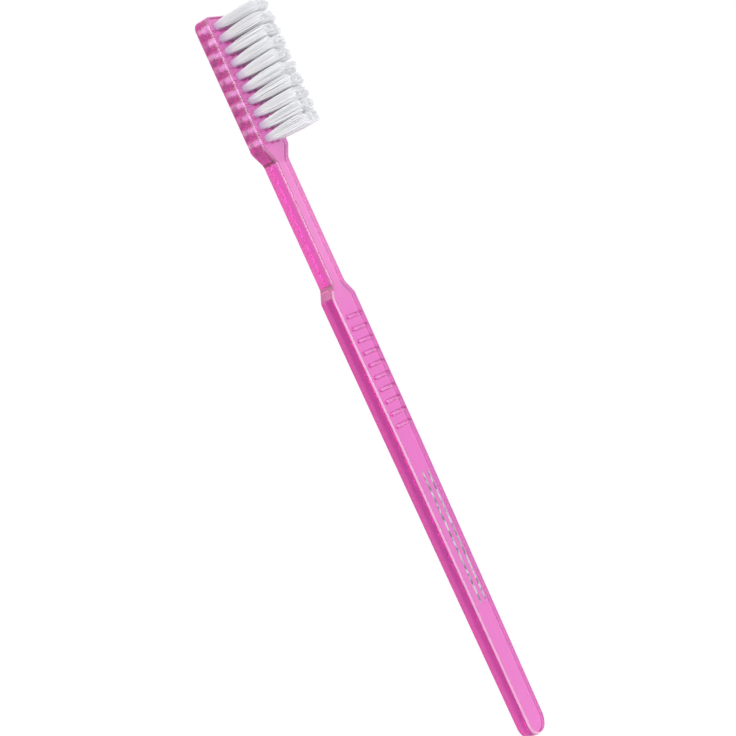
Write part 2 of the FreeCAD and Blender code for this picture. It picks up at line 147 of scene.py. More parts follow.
class HandleSettings(bpy.types.PropertyGroup):
    """Clear plastic of the handle."""

    tint: colour_setting("Tint", "White light after the tint depth of plastic", "#E583CC", 0.001, 0.999)
    tint_depth: length_setting("Tint Depth", "Thickness of plastic that gives the tint", 4.8, 0.1)
    ior: bpy.props.FloatProperty(
        name="IOR", description="Refraction of styrene acrylonitrile", default=1.57, min=1.0, max=2.0)
    cloud: colour_setting("Cloud", "Colour of the faint cloud that pigment leaves in the skin", "#E66FBE")
    cloud_share: share_setting("Cloud Share", "Share of the light that the cloud scatters", 0.15)
    neck_face: colour_setting("Neck Face", "Colour of the cloud in the face of the neck", "#FBB4F6")
    grip_face: colour_setting("Grip Face", "Colour of the cloud in the face of the grip", "#ED59E0")
    # Painted light on the sides of the neck and painted shade on the sides of the grip, above the parting.
    neck_painted_light: colour_setting("Vivid Neck", "Colour of the sides of the neck above the parting", "#DE50B0")
    side_painted_shade: colour_setting("Deep Side", "Colour of the sides of the grip above the parting", "#A03F96")
    # Painted light and shade: the sides behind the head scatter more than the face, above and below the
    # parting.
    side_share: share_setting(
        "Side Share", "Share of the light that the sides behind the head scatter above the parting", 0.36)
    lower_share: share_setting(
        "Lower Share", "Share of the light that the sides behind the head scatter below the parting", 0.3)
    # Painted highlight: a pale line along the rounded edge of the face; the bands of painted light beside
    # the holes share its colour.
    painted_highlight_pale: colour_setting("Pale Rim", "Colour of the dull rounded edge and of the bands", "#F7CDEB")
    rim_highlight_share: share_setting("Rim Share", "Share of the light that the grip's rounded edge scatters", 0.5)
    head_rim_highlight_share: share_setting(
        "Head Rim Share", "Share of the light that the rounded edge of head and neck scatters", 0.22)
    band_share: share_setting(
        "Band Share", "Share of the light that the pale bands beside the holes scatter", 0.36)
    patch: length_setting("Patch", "Size of the stronger and weaker patches of the bands", 1.6, 0.1)
    flare_grey: colour_setting("Flare Grey", "Colour of the frosted facets of the flare", "#C9A0B6")
    flare_share: share_setting("Flare Share", "Share of the light that the frosted facets scatter", 0.32)
    # Painted light: the walls of the holes are paler than the plastic around them, which lightens the holes
    # seen through it.
    bore_pale: colour_setting("Pale Bore", "Colour of the walls that the tufts rub white", "#FBF0F7")
    bore_share: share_setting("Bore Share", "Share of the light that the rubbed walls scatter", 0.15)
    ripple: length_setting("Ripple", "Length of the faint flow ripple in the face", 9.0, 0.5)
    haze: length_setting("Haze", "Size of the patches of fine handling haze", 2.5, 0.1)


class TuftSettings(bpy.types.PropertyGroup):
    """Nylon filaments of the tufts."""

    diameter: length_setting("Filament", "Diameter of a filament", 0.16, 0.05)
    spacing: length_setting(
        "Spacing", "Filament to filament where they are packed in the hole", 0.165, 0.05)
    hole: length_setting("Hole", "Diameter of a tuft hole", 1.8, 0.5)
    wall_gap: length_setting("Wall Gap", "Outer filaments to the wall of the hole", 0.03)
    anchor_half: length_setting(
        "Anchor Half", "Middle of the hole to the filaments beside the anchor", 0.15)
    fold_level: length_setting("Fold Level", "Height at which filaments turn under the anchor", 1.5)
    fold_floor: length_setting("Fold Floor", "Height of the lowest folded filaments", 1.22)
    fold_depth: length_setting("Fold Depth", "Lowest to highest folded filaments", 0.14)
    scatter: length_setting("Scatter", "How far a tip strays from its even place", 0.17)
    cut_scatter: length_setting("Cut Scatter", "How unevenly the tips are trimmed", 0.22)
    clump_cut: length_setting("Clump Cut", "How unevenly the clumps of a tuft are trimmed", 0.75)
    dome: length_setting("Dome", "How much lower the outermost tips of a tuft are trimmed", 0.3)
    lean: length_setting("Lean", "How far a whole tuft may lean at its tips", 0.2)
    shade_low: colour_setting("Darker Strand", "Colour of the darkest filaments", "#F4F5F7")
    shade_high: colour_setting("Lighter Strand", "Colour of the lightest filaments", "#FCFCFD")
    # Painted light: the lilac that the clear plastic casts on the roots, painted into their colour.
    root_painted_glow: colour_setting("Root Glow", "Colour of filaments where they leave the plastic", "#EBDDF2")
    light_through: share_setting("Light Through", "Share of the light that passes through", 0.15)
    # Painted light: emission that makes the ends of the filaments in the plastic glow.
    painted_led_glow: bpy.props.FloatProperty(
        name="Led Light", description="Light that filaments lead down into their holes",
        default=0.22, min=0.0)


class AnchorSettings(bpy.types.PropertyGroup):
    """Metal plates that hold the tufts."""

    metal: colour_setting("Metal", "Colour of the brass wire", "#CDB06A")
    roll_line: length_setting("Rolling Line", "Spacing of the fine lines left by rolling", 0.12, 0.01)


class FoilSettings(bpy.types.PropertyGroup):
    """Plain foil stripes on the grip."""

    start: length_setting("Start", "Place along the brush where the stripes start", 24.5)
    length: length_setting("Length", "Length of a stripe", 32.5, 1.0)
    width: length_setting("Width", "Width of a stripe", 0.7, 0.1)
    spread: length_setting("Spread", "Middle of one stripe to the middle of the other", 2.6, 0.2)
    thickness: length_setting("Thickness", "Foil above the face", 0.02, 0.001)
    # Painted reflection: lighter and darker stretches of silver in the foil's colour.
    band: length_setting("Band", "Length of the lighter and darker stretches", 1.6, 0.1)
    dark_silver: colour_setting("Dark Silver", "Colour of the darker stretches", "#77797C")
    silver: colour_setting("Silver", "Colour of the lighter stretches", "#D2D3D5")


class StudioSettings(bpy.types.PropertyGroup):
    """Floor, light and camera."""

    paper: colour_setting("Paper", "Colour of the floor", "#F7F7F7")
    surround: bpy.props.FloatProperty(
        name="Surround", description="Light of the white room", default=0.5, min=0.0)
    key_watts: bpy.props.FloatProperty(
        name="Key Light", description="Power of the softbox above the camera's side",
        default=9.0, min=0.0, subtype="POWER", unit="POWER")
    fill_watts: bpy.props.FloatProperty(
        name="Fill Light", description="Power of the softbox on the far side",
        default=4.0, min=0.0, subtype="POWER", unit="POWER")
    camera_place: bpy.props.FloatVectorProperty(
        name="Camera", description="Place of the camera", size=3, subtype="TRANSLATION",
        unit="LENGTH", default=(-2.446 * MM, -370.747 * MM, 216.471 * MM))
    camera_target: bpy.props.FloatVectorProperty(
        name="Target", description="Point that the camera looks at", size=3, subtype="TRANSLATION",
        unit="LENGTH", default=(-2.340 * MM, -0.848 * MM, 2.0 * MM))
    camera_roll: bpy.props.FloatProperty(
        name="Roll", description="Turn of the camera about its own axis",
        default=math.radians(65.488), subtype="ANGLE")
    lens: bpy.props.FloatProperty(
        name="Lens", description="Focal length on a sensor 36 mm wide", default=91.38, min=10.0)


WHITE = (1.0, 1.0, 1.0, 1.0)
# Sockets of a mix node for colours: its two colours and its result.
MIX_FIRST, MIX_SECOND, MIX_RESULT = 6, 7, 2


def opaque(colour):
    """A colour property as the four numbers of a colour socket."""
    return (*colour, 1.0)


def add_node(tree, kind, inputs=(), **properties):
    """Add a node, set its properties, and set each input or link it to the socket given for it."""
    node = tree.nodes.new(kind)
    for name, value in properties.items():
        setattr(node, name, value)
    for name, value in dict(inputs).items():
        if isinstance(value, bpy.types.NodeSocket):
            tree.links.new(value, node.inputs[name])
        else:
            node.inputs[name].default_value = value
    return node


def calc(tree, operation, *inputs):
    """Result of one calculation with numbers and sockets."""
    return add_node(tree, "ShaderNodeMath", enumerate(inputs), operation=operation).outputs[0]


def product(tree, first, *others):
    """Masks and shares multiplied with each other."""
    for other in others:
        first = calc(tree, "MULTIPLY", first, other)
    return first


def carried(tree, value, source=(0.0, 1.0), target=(0.0, 1.0)):
    """A value carried from its source range to a target range, and held at the ends."""
    return add_node(tree, "ShaderNodeMapRange", {
        "Value": value, "From Min": source[0], "From Max": source[1],
        "To Min": target[0], "To Max": target[1]}).outputs["Result"]


def blended(tree, share, first, second):
    """A colour between two, each of them a socket or a colour property."""
    first, second = (item if isinstance(item, bpy.types.NodeSocket) else opaque(item)
                     for item in (first, second))
    return add_node(tree, "ShaderNodeMix", {0: share, MIX_FIRST: first, MIX_SECOND: second},
                    data_type="RGBA").outputs[MIX_RESULT]


def mixed(tree, share, first, second):
    """A surface between two."""
    return add_node(tree, "ShaderNodeMixShader", {0: share, 1: first, 2: second}).outputs[0]


def object_place(tree):
    """Place on the object, in its own coordinates."""
    return add_node(tree, "ShaderNodeTexCoord").outputs["Object"]


def noise(tree, place, size, detail):
    """Noise whose patches have a size."""
    return add_node(tree, "ShaderNodeTexNoise", {
        "Vector": place, "Scale": 1 / size, "Detail": detail}).outputs["Fac"]


def dented(tree, height, strength, depth):
    """Normals of a surface that is dented by a height."""
    return add_node(tree, "ShaderNodeBump", {
        "Height": height, "Strength": strength, "Distance": depth}).outputs["Normal"]


def new_material(name):
    """A material with an empty node tree."""
    material = bpy.data.materials.new(name)
    material.use_nodes = True
    material.node_tree.nodes.clear()
    return material, material.node_tree


def hole_masks(tree, along, across, height):
    """Two masks: the walls of the tuft holes and their slits, and the bands of painted light on the sides
    beside them.
    """
    first, last = (tuft_axis("tuft_middle_%02d" % column) for column in (1, TUFT_COLUMNS))
    half_span = (last.x - first.x) / 2
    pitch = (last.x - first.x) / (TUFT_COLUMNS - 1)
    row_step = tuft_axis("tuft_rear_01").y - first.y
    from_first = calc(tree, "SUBTRACT", along, first.x)
    column_off = calc(tree, "PINGPONG", from_first, pitch / 2)
    row_off = calc(tree, "PINGPONG", across, row_step / 2)
    flat = add_node(tree, "ShaderNodeCombineXYZ", {0: column_off, 1: row_off}).outputs[0]
    distance = add_node(tree, "ShaderNodeVectorMath", {0: flat}, operation="LENGTH").outputs["Value"]
    near_axis = calc(tree, "LESS_THAN", distance, BORE_REACH)
    in_columns = calc(tree, "COMPARE", from_first, half_span, half_span + BORE_REACH)
    in_rows = calc(tree, "COMPARE", across, 0.0, row_step + BORE_REACH)
    in_depth = calc(tree, "COMPARE", height, (BORE_FLOOR + FACE_LEVEL) / 2,
                    (FACE_LEVEL - BORE_FLOOR) / 2 - BORE_SKIN)
    outer = calc(tree, "GREATER_THAN", calc(tree, "ABSOLUTE", across), BAND_INNER)
    beside = carried(tree, column_off, (BAND_HALF, BAND_HALF + BAND_FADE), (1.0, 0.0))
    return product(tree, near_axis, in_columns, in_rows, in_depth), product(tree, outer, beside, in_columns)


# Clear plastic: strength and depth of the flow ripple; roughness where it is clean, handled and bored;
# range of the haze noise that counts; the same for the patches of the bands, and the weakest patch;
# share of lamp light that a surface lets through; margin that keeps every colour a little.
RIPPLE_STRENGTH, RIPPLE_DEPTH = 0.15, 0.02 * MM
CLEAN, HANDLED, BORED = 0.015, 0.06, 0.6
HAZE_RANGE = (0.35, 0.75)
PATCH_RANGE, WEAK_PATCH = (0.35, 0.65), 0.35
LAMP_SHARE = 0.92
DENSITY_MARGIN = 1.02


def handle_masks(tree, place, settings):
    """Masks of the regions of the handle by name, and where a place lies between neck and grip."""
    along, across, height = add_node(tree, "ShaderNodeSeparateXYZ", {0: place}).outputs
    fallen = carried(tree, along, (FALL_START, CAD_BOX[1].x), (0.0, FALL_DROP))
    levelled = calc(tree, "ADD", height, fallen)
    below_rim = calc(tree, "LESS_THAN", levelled, FACE_LEVEL - RIM_DEPTH)
    past_head = calc(tree, "GREATER_THAN", along, HEEL_PLACE)
    bored, bands = hole_masks(tree, along, across, height)
    patches = noise(tree, place, settings.patch, 1.0)
    patchy = carried(tree, patches, PATCH_RANGE, (WEAK_PATCH, 1.0))
    beyond_neck = calc(tree, "GREATER_THAN", calc(tree, "ABSOLUTE", across), NECK_HALF)
    on_flare = calc(tree, "COMPARE", along, FLARE_PLACE, FLARE_HALF)
    return {
        # The rounded edge of the face, which carries a painted highlight.
        "rim": calc(tree, "COMPARE", levelled, FACE_LEVEL - RIM_DEPTH / 2 - BORE_SKIN, RIM_DEPTH / 2),
        "off_face": calc(tree, "MAXIMUM", below_rim, calc(tree, "SUBTRACT", 1.0, past_head)),
        # The sides behind the head and the part of them above the parting, which carry painted light and
        # shade.
        "side": product(tree, below_rim, past_head),
        "upper": carried(tree, height, (PARTING_LEVEL - PARTING_FADE, PARTING_LEVEL + PARTING_FADE)),
        "grip": calc(tree, "GREATER_THAN", along, FLARE_PLACE),
        "grip_fade": carried(tree, along, (FLARE_PLACE - FACE_FADE, FLARE_PLACE + FACE_FADE)),
        "flare": product(tree, beyond_neck, on_flare, below_rim),
        # Patchy bands of painted light down the sides of the head beside the holes.
        "bands": product(tree, bands, below_rim, patchy),
        "bored": bored,
    }


def cloud_amount(tree, masks, settings):
    """Share of the light that the skin of the handle scatters."""
    # Painted light and shade: the sides behind the head scatter more than the face, above and below the
    # parting.
    sides = carried(tree, masks["upper"], target=(settings.lower_share, settings.side_share))
    plain = carried(tree, masks["side"], target=(settings.cloud_share, sides))
    # Painted highlight along the rounded edge, stronger on the grip than on head and neck.
    rim = carried(tree, masks["grip"], target=(settings.head_rim_highlight_share, settings.rim_highlight_share))
    rim_highlight = product(tree, masks["rim"], rim)
    frosted = calc(tree, "MULTIPLY_ADD", masks["flare"], settings.flare_share, rim_highlight)
    strongest_share = calc(tree, "MAXIMUM", plain, frosted)
    # Painted light: the bands beside the holes scatter their own share.
    banded = carried(tree, masks["bands"], target=(strongest_share, settings.band_share))
    # Hole walls painted paler scatter their own share.
    return carried(tree, masks["bored"], target=(banded, settings.bore_share))


def cloud_colour(tree, masks, settings):
    """Colour that the skin of the handle scatters."""
    face = blended(tree, masks["grip_fade"], settings.neck_face, settings.grip_face)
    shell = blended(tree, masks["off_face"], face, settings.cloud)
    # Painted light on the sides of the neck and painted shade on the sides of the grip, above the parting.
    painted_flank = blended(tree, masks["grip"], settings.neck_painted_light, settings.side_painted_shade)
    deep = blended(tree, product(tree, masks["side"], masks["upper"]), shell, painted_flank)
    # Painted highlight on the rounded edge and painted light in the bands, in one pale colour.
    highlit = calc(tree, "MAXIMUM", masks["rim"], masks["bands"])
    highlighted = blended(tree, highlit, deep, settings.painted_highlight_pale)
    # Hole walls painted paler than the plastic around them.
    painted_pale = blended(tree, masks["bored"], highlighted, settings.bore_pale)
    return blended(tree, masks["flare"], painted_pale, settings.flare_grey)


def clear_plastic(settings):
    """Styrene acrylonitrile from a polished mould: clear, tinted through its depth, glossy.

    The tint deepens with the way light takes inside, so thin walls are pale and long ways dark.
    The pigment leaves a faint cloud. Behind the head the sides are painted darker above the parting on the
    grip, brighter above it on the neck and lighter below it, and a painted highlight runs round the edge of
    the face. The faces carry a flow ripple and a little haze from handling, the facets of the flare are
    frosted, the walls of the holes are painted pale, and patchy bands of painted light run down the sides
    of the head beside them.
    """
    material, tree = new_material("clear_san_injection_moulded")
    place = object_place(tree)
    masks = handle_masks(tree, place, settings)
    gloss = carried(tree, noise(tree, place, settings.haze, 3.0), HAZE_RANGE, (CLEAN, HANDLED))
    ripple = noise(tree, place, settings.ripple, 1.0)
    plastic = add_node(tree, "ShaderNodeBsdfPrincipled", {
        "Base Color": WHITE, "Transmission Weight": 1.0, "IOR": settings.ior,
        "Roughness": carried(tree, masks["bored"], target=(gloss, BORED)),
        "Normal": dented(tree, ripple, RIPPLE_STRENGTH, RIPPLE_DEPTH)})
    cloud = add_node(tree, "ShaderNodeBsdfDiffuse", {"Color": cloud_colour(tree, masks, settings)})
    skin = mixed(tree, cloud_amount(tree, masks, settings), plastic.outputs[0], cloud.outputs[0])
    # Lamps shine through the plastic onto what it holds, and its depth tints their light.
    lamp_way = add_node(tree, "ShaderNodeBsdfTransparent", {"Color": opaque([LAMP_SHARE] * 3)})
    shadow_ray = add_node(tree, "ShaderNodeLightPath").outputs["Is Shadow Ray"]
    surface = mixed(tree, shadow_ray, skin, lamp_way.outputs[0])
    taken = [-math.log(share) / settings.tint_depth for share in settings.tint]
    density = max(taken) * DENSITY_MARGIN
    depth = add_node(tree, "ShaderNodeVolumeAbsorption", {
        "Color": opaque([1 - value / density for value in taken]), "Density": density})
    add_node(tree, "ShaderNodeOutputMaterial", {"Surface": surface, "Volume": depth.outputs[0]})
    return material


# Nylon: refraction; roughness along a filament and on its cut tip; where, from 0 at the face to 1 at the
# tips, the painted lilac glow of the roots ends, the cut starts, and the painted glow of the ends in the
# plastic starts and is full.
NYLON_IOR = 1.53
DRAWN, CUT = 0.42, 0.7
GLOW_END, CUT_START = 0.22, 0.97
LED_START, LED_FULL = -0.03, -0.16


def drawn_nylon(settings):
    """Nylon filament, drawn and cut: white, a little glossy, each strand of its own shade.

    Light passes through the thin strands, so the gaps between them stay bright,
    and the roots carry a painted lilac glow that stands in for light from the clear plastic that they stand
    in.
    The ends in the plastic glow a little by painted emission, which stands in for light that the filaments
    lead down into their holes.
    """
    material, tree = new_material("nylon_drawn_filament")
    strand, along = (add_node(tree, "ShaderNodeAttribute", attribute_name=name).outputs["Fac"]
                     for name in ("strand", "along"))
    shade = blended(tree, strand, settings.shade_low, settings.shade_high)
    rooted = carried(tree, along, (0.0, GLOW_END), (1.0, 0.0))
    # Painted light: the lilac of the clear plastic's light painted into the roots.
    tinted = blended(tree, rooted, shade, settings.root_painted_glow)
    # Painted light: emission makes the ends of the filaments in the plastic glow.
    nylon = add_node(tree, "ShaderNodeBsdfPrincipled", {
        "IOR": NYLON_IOR, "Base Color": tinted,
        "Roughness": carried(tree, along, (CUT_START, 1.0), (DRAWN, CUT)),
        "Emission Strength": carried(tree, along, (LED_FULL, LED_START), (settings.painted_led_glow, 0.0))})
    through = add_node(tree, "ShaderNodeBsdfTranslucent", {"Color": tinted})
    strands = mixed(tree, settings.light_through, nylon.outputs[0], through.outputs[0])
    add_node(tree, "ShaderNodeOutputMaterial", {"Surface": strands})
    return material


# Brass: how much the noise is drawn out along the wire, roughness, strength and depth of its lines.
ROLL_STRETCH = 0.08
BRASS_GLOSS = (0.22, 0.45)
ROLL_STRENGTH, ROLL_DEPTH = 0.2, 0.004 * MM


def rolled_brass(settings):
    """Brass flat wire, rolled and cut: fine lines along the wire, a soft shine."""
    material, tree = new_material("brass_flat_wire_rolled")
    drawn_out = add_node(tree, "ShaderNodeMapping", {
        "Vector": object_place(tree), "Scale": (ROLL_STRETCH, 1.0, 1.0)}).outputs[0]
    lines = noise(tree, drawn_out, settings.roll_line, 2.0)
    brass = add_node(tree, "ShaderNodeBsdfPrincipled", {
        "Base Color": opaque(settings.metal), "Metallic": 1.0,
        "Roughness": carried(tree, lines, target=BRASS_GLOSS),
        "Normal": dented(tree, lines, ROLL_STRENGTH, ROLL_DEPTH)})
    add_node(tree, "ShaderNodeOutputMaterial", {"Surface": brass.outputs[0]})
    return material


# Foil: size, strength and depth of the grain below it, roughness, range of the noise of the painted
# reflection stretches that counts.
GRAIN_SIZE = 0.6 * MM
GRAIN_STRENGTH, GRAIN_DEPTH = 0.35, 0.02 * MM
FOIL_GLOSS = (0.12, 0.34)
FOIL_BANDS = (0.38, 0.62)


def stamped_foil(settings):
    """Silver foil, hot stamped: a bright mirror broken by the grain of the heated plastic below, with
    stretches of painted reflection in its colour.
    """
    material, tree = new_material("silver_foil_hot_stamped")
    place = object_place(tree)
    grain = noise(tree, place, GRAIN_SIZE, 3.0)
    # Painted reflection: lighter and darker stretches of silver in the base colour.
    stretches = carried(tree, noise(tree, place, settings.band, 1.0), FOIL_BANDS)
    foil = add_node(tree, "ShaderNodeBsdfPrincipled", {
        "Metallic": 1.0, "Base Color": blended(tree, stretches, settings.dark_silver, settings.silver),
        "Roughness": carried(tree, grain, target=FOIL_GLOSS),
        "Normal": dented(tree, grain, GRAIN_STRENGTH, GRAIN_DEPTH)})
    add_node(tree, "ShaderNodeOutputMaterial", {"Surface": foil.outputs[0]})
    return material


# Paper: size of the fibres, roughness, shine, and how white the camera sees it beside its own shading.
FIBRE_SIZE = 1.5 * MM
PAPER_GLOSS = (0.8, 0.95)
PAPER_SHINE = 0.1
PAPER_WHITE = 0.82


def seen_white(tree, seen):
    """Share of plain white in what a ray sees: all in gloss and glass, and this share for the camera."""
    ray = add_node(tree, "ShaderNodeLightPath").outputs
    mirrored = calc(tree, "MAXIMUM", ray["Is Glossy Ray"], ray["Is Transmission Ray"])
    return calc(tree, "MAXIMUM", calc(tree, "MULTIPLY", ray["Is Camera Ray"], seen), mirrored)


def white_paper(settings):
    """Matt white paper, bright to the eye and in glass, that still takes the soft shadow."""
    material, tree = new_material("white_paper_matt")
    fibre = noise(tree, object_place(tree), FIBRE_SIZE, 4.0)
    paper = add_node(tree, "ShaderNodeBsdfPrincipled", {
        "Base Color": opaque(settings.paper), "Specular IOR Level": PAPER_SHINE,
        "Roughness": carried(tree, fibre, target=PAPER_GLOSS)})
    glow = add_node(tree, "ShaderNodeEmission", {"Color": WHITE, "Strength": 1.0})
    surface = mixed(tree, seen_white(tree, PAPER_WHITE), paper.outputs[0], glow.outputs[0])
    add_node(tree, "ShaderNodeOutputMaterial", {"Surface": surface})
    return material


def select_only(*objects):
    """Select these objects alone, the first one active."""
    bpy.ops.object.select_all(action="DESELECT")
    for item in objects:
        item.select_set(True)
    bpy.context.view_layer.objects.active = objects[0]


def dress(piece, material):
    """Give a piece one material."""
    piece.data.materials.clear()
    piece.data.materials.append(material)


# Corners nearer than this are one; edges flatter than this angle are smoothed; and a face is rounded
# where the upward share of its normal lies between these.
WELD = 0.001 * MM
ROUNDED_ANGLE = math.radians(36)
UPRIGHT, LEVEL = 0.02, 0.998


def polished_copy(name, node):
    """A copy of a moulding whose facets are shaded as the smooth polished surface they stand for."""
    piece = bpy.data.objects.new(name, node.data.copy())
    piece.data.name = name
    bpy.context.scene.collection.objects.link(piece)
    select_only(piece)
    bpy.ops.object.mode_set(mode="EDIT")
    bpy.ops.mesh.select_all(action="SELECT")
    bpy.ops.mesh.remove_doubles(threshold=WELD)
    bpy.ops.object.mode_set(mode="OBJECT")
    bpy.ops.object.shade_smooth_by_angle(angle=ROUNDED_ANGLE)
    # Flat faces and the ribs keep their own normals, so that only the rounded edges are smoothed.
    for face in piece.data.polygons:
        tilted = UPRIGHT < abs(face.normal.z) < LEVEL
        face.use_smooth = tilted and face.center.z < FACE_LEVEL
    return piece


class TOOTHBRUSH_OT_clear_handle(bpy.types.Operator):
    """Polish the moulded handle and give it its clear plastic"""

    bl_idname = "toothbrush.clear_handle"
    bl_label = "Clear Handle"

    def execute(self, context):
        handle = polished_copy("clear_handle", HANDLE)
        dress(handle, clear_plastic(context.scene.toothbrush_handle))
        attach(handle, "root")
        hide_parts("handle")
        return {"FINISHED"}


# Rings of a folded filament: five down one leg, two under the anchor, five up the other leg.
FILAMENT_SIDES = 5
FOLD_STEPS = 3
# A leg leaves the hole straight and bows out: at each share of its free height, the share of the way
# to the place of its tip.
BOW = ((1.0, 1.0), (0.52, 0.92), (0.2, 0.42), (0.0, 0.0))
# Power of the rounded square that the tips of a tuft fill: 2 is an ellipse, more is squarer.
TIP_ROUNDING = 4.0
# Innermost tips to the middle of the tuft, in filament diameters.
INNER_TIPS = 0.6
# Clumps that the tips of a tuft cling together in along the brush, and the powers with which short
# filaments and clumps become rare and the tips fall off towards the rim of a tuft.
CLUMPS = 4
TRIM_POWER = 2
DOME_POWER = 4
FILAMENT_ANGLE = math.radians(70)


def leg_levels(settings):
    """Heights of the rings on one leg, from the trimmed tip down to the fold."""
    free = TIP_LEVEL - FACE_LEVEL
    return [FACE_LEVEL + height * free for height, _spread in BOW] + [settings.fold_level]


def model_filament(settings):
    """One folded filament: a round tip drawn down, spun under the anchor and drawn up again."""
    levels = leg_levels(settings)
    half_fold = settings.hole / 4
    bpy.ops.object.select_all(action="DESELECT")
    bpy.ops.mesh.primitive_circle_add(
        vertices=FILAMENT_SIDES, radius=settings.diameter / 2, fill_type="NGON",
        location=(0, -half_fold, levels[0]))
    filament = bpy.context.object
    bpy.ops.object.transform_apply(location=True, rotation=True, scale=True)
    bpy.ops.object.mode_set(mode="EDIT")
    bpy.ops.mesh.select_all(action="SELECT")
    for upper, lower in zip(levels, levels[1:]):
        bpy.ops.mesh.extrude_region_move(TRANSFORM_OT_translate={"value": (0, 0, lower - upper)})
    bpy.ops.mesh.spin(steps=FOLD_STEPS, angle=math.pi, center=(0, 0, levels[-1]), axis=(-1, 0, 0))
    for lower, upper in zip(levels[:0:-1], levels[-2::-1]):
        bpy.ops.mesh.extrude_region_move(TRANSFORM_OT_translate={"value": (0, 0, upper - lower)})
    bpy.ops.mesh.select_all(action="SELECT")
    bpy.ops.mesh.normals_make_consistent(inside=False)
    bpy.ops.object.mode_set(mode="OBJECT")
    return filament


def packed_half(settings):
    """Close-packed places of the legs on one side of an anchor, as (along, across) pairs."""
    reach = settings.hole / 2 - settings.wall_gap - settings.diameter / 2
    across = settings.anchor_half + settings.diameter / 2
    step, staggered, places = settings.spacing, True, []
    while across < reach:
        half = math.sqrt(reach ** 2 - across ** 2)
        if staggered:
            offsets = [(k + 0.5) * step for k in range(int(half / step + 0.5))]
        else:
            offsets = [k * step for k in range(int(half / step) + 1)]
        places += [(sign * value, across) for value in offsets for sign in (1, -1) if value or sign > 0]
        across += step * math.sqrt(3) / 2
        staggered = not staggered
    return places, reach


def tip_place(place, reach, tip_reach, settings):
    """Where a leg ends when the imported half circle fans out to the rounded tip, and how near its rim."""
    along, across = place
    first = settings.anchor_half + settings.diameter / 2
    depth = max(math.sqrt(reach ** 2 - along ** 2) - first, settings.diameter)
    share = min((across - first) / depth, 1.0)
    edge = (1 - min(abs(along) / reach, 1.0) ** TIP_ROUNDING) ** (1 / TIP_ROUNDING)
    near = settings.diameter * INNER_TIPS
    tip_across = near + share * max(edge * tip_reach.y - near, 0.0)
    return Vector((along * tip_reach.x / reach, tip_across, 0)), math.hypot(along / reach, share * edge)


def leg_path(place, tip, trim, side, settings, chance):
    """Ring centres of one leg, tip first, with its own stray and trim."""
    stray = Vector([chance.gauss(0, settings.scatter / 2) for _ in range(2)] + [0])
    end = Vector((tip.x, side * tip.y, 0)) + stray
    root = Vector((place[0], side * place[1], 0))
    centres = [root.lerp(end, spread) for _height, spread in BOW] + [root.copy()]
    for centre, level in zip(centres, leg_levels(settings)):
        centre.z = level
    centres[0].z -= trim + settings.cut_scatter * chance.random() ** TRIM_POWER
    return centres


def fill_tuft(name, node, filament, settings, chance):
    """One tuft: copies of the folded filament packed round the anchor and fanned out to the tips."""
    low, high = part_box(node)
    middle = tuft_axis(node)
    tip_reach = (high - low) / 2 - Vector((1, 1, 0)) * settings.diameter / 2
    places, reach = packed_half(settings)
    lean = Vector((chance.uniform(-1, 1), chance.uniform(-1, 1), 0)) * settings.lean
    rings = [[v.co for v in filament.data.vertices[k:k + FILAMENT_SIDES]]
             for k in range(0, len(filament.data.vertices), FILAMENT_SIDES)]
    offsets = [[co - sum(ring, Vector()) / FILAMENT_SIDES for co in ring] for ring in rings]
    shape = [tuple(face.vertices) for face in filament.data.polygons]
    points, faces, strand, along = [], [], [], []
    clumps = [[settings.clump_cut * chance.random() ** TRIM_POWER for _ in range(CLUMPS)]
              for _side in range(2)]
    for place in places:
        tip, rim = tip_place(place, reach, tip_reach, settings)
        clump = min(int((tip.x / tip_reach.x + 1) / 2 * CLUMPS), CLUMPS - 1)
        dome = settings.dome * min(rim, 1.0) ** DOME_POWER
        down, up = (leg_path(place, tip, dome + cuts[clump], side, settings, chance)
                    for side, cuts in zip((-1, 1), clumps))
        fold = settings.fold_floor + (1 - place[1] / reach) * settings.fold_depth
        under = [Vector((place[0], side * place[1] / 2, fold)) for side in (-1, 1)]
        first, shade = len(points), chance.random()
        for centre, ring in zip(down + under + up[::-1], offsets):
            share = (centre.z - FACE_LEVEL) / (TIP_LEVEL - FACE_LEVEL)
            shift = middle + lean * max(share, 0.0)
            points += [centre + shift + offset for offset in ring]
            along += [share] * FILAMENT_SIDES
            strand += [shade] * FILAMENT_SIDES
        faces += [tuple(first + corner for corner in face) for face in shape]
    mesh = bpy.data.meshes.new(name)
    mesh.from_pydata(points, [], faces)
    for title, numbers in (("strand", strand), ("along", along)):
        mesh.attributes.new(title, "FLOAT", "POINT").data.foreach_set("value", numbers)
    tuft = bpy.data.objects.new(name, mesh)
    bpy.context.scene.collection.objects.link(tuft)
    return tuft


class TOOTHBRUSH_OT_filament_tufts(bpy.types.Operator):
    """Model one folded filament and fill every tuft with copies of it"""

    bl_idname = "toothbrush.filament_tufts"
    bl_label = "Filament Tufts"

    def execute(self, context):
        settings = context.scene.toothbrush_tufts
        nylon = drawn_nylon(settings)
        filament = model_filament(settings)
        tufts = []
        for node in sorted(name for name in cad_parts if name.startswith("tuft_")):
            name = node.replace("tuft", "filaments")
            tuft = fill_tuft(name, node, filament, settings, random.Random(node))
            dress(tuft, nylon)
            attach(tuft, "root")
            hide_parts(node)
            tufts.append(tuft)
        bpy.data.objects.remove(filament)
        select_only(*tufts)
        bpy.ops.object.shade_smooth_by_angle(angle=FILAMENT_ANGLE)
        return {"FINISHED"}


class TOOTHBRUSH_OT_anchor_plates(bpy.types.Operator):
    """Give the anchor plates their rolled brass"""

    bl_idname = "toothbrush.anchor_plates"
    bl_label = "Anchor Plates"

    def execute(self, context):
        brass = rolled_brass(context.scene.toothbrush_anchors)
        for row in ROWS:
            dress(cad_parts["anchors_" + row], brass)
        return {"FINISHED"}


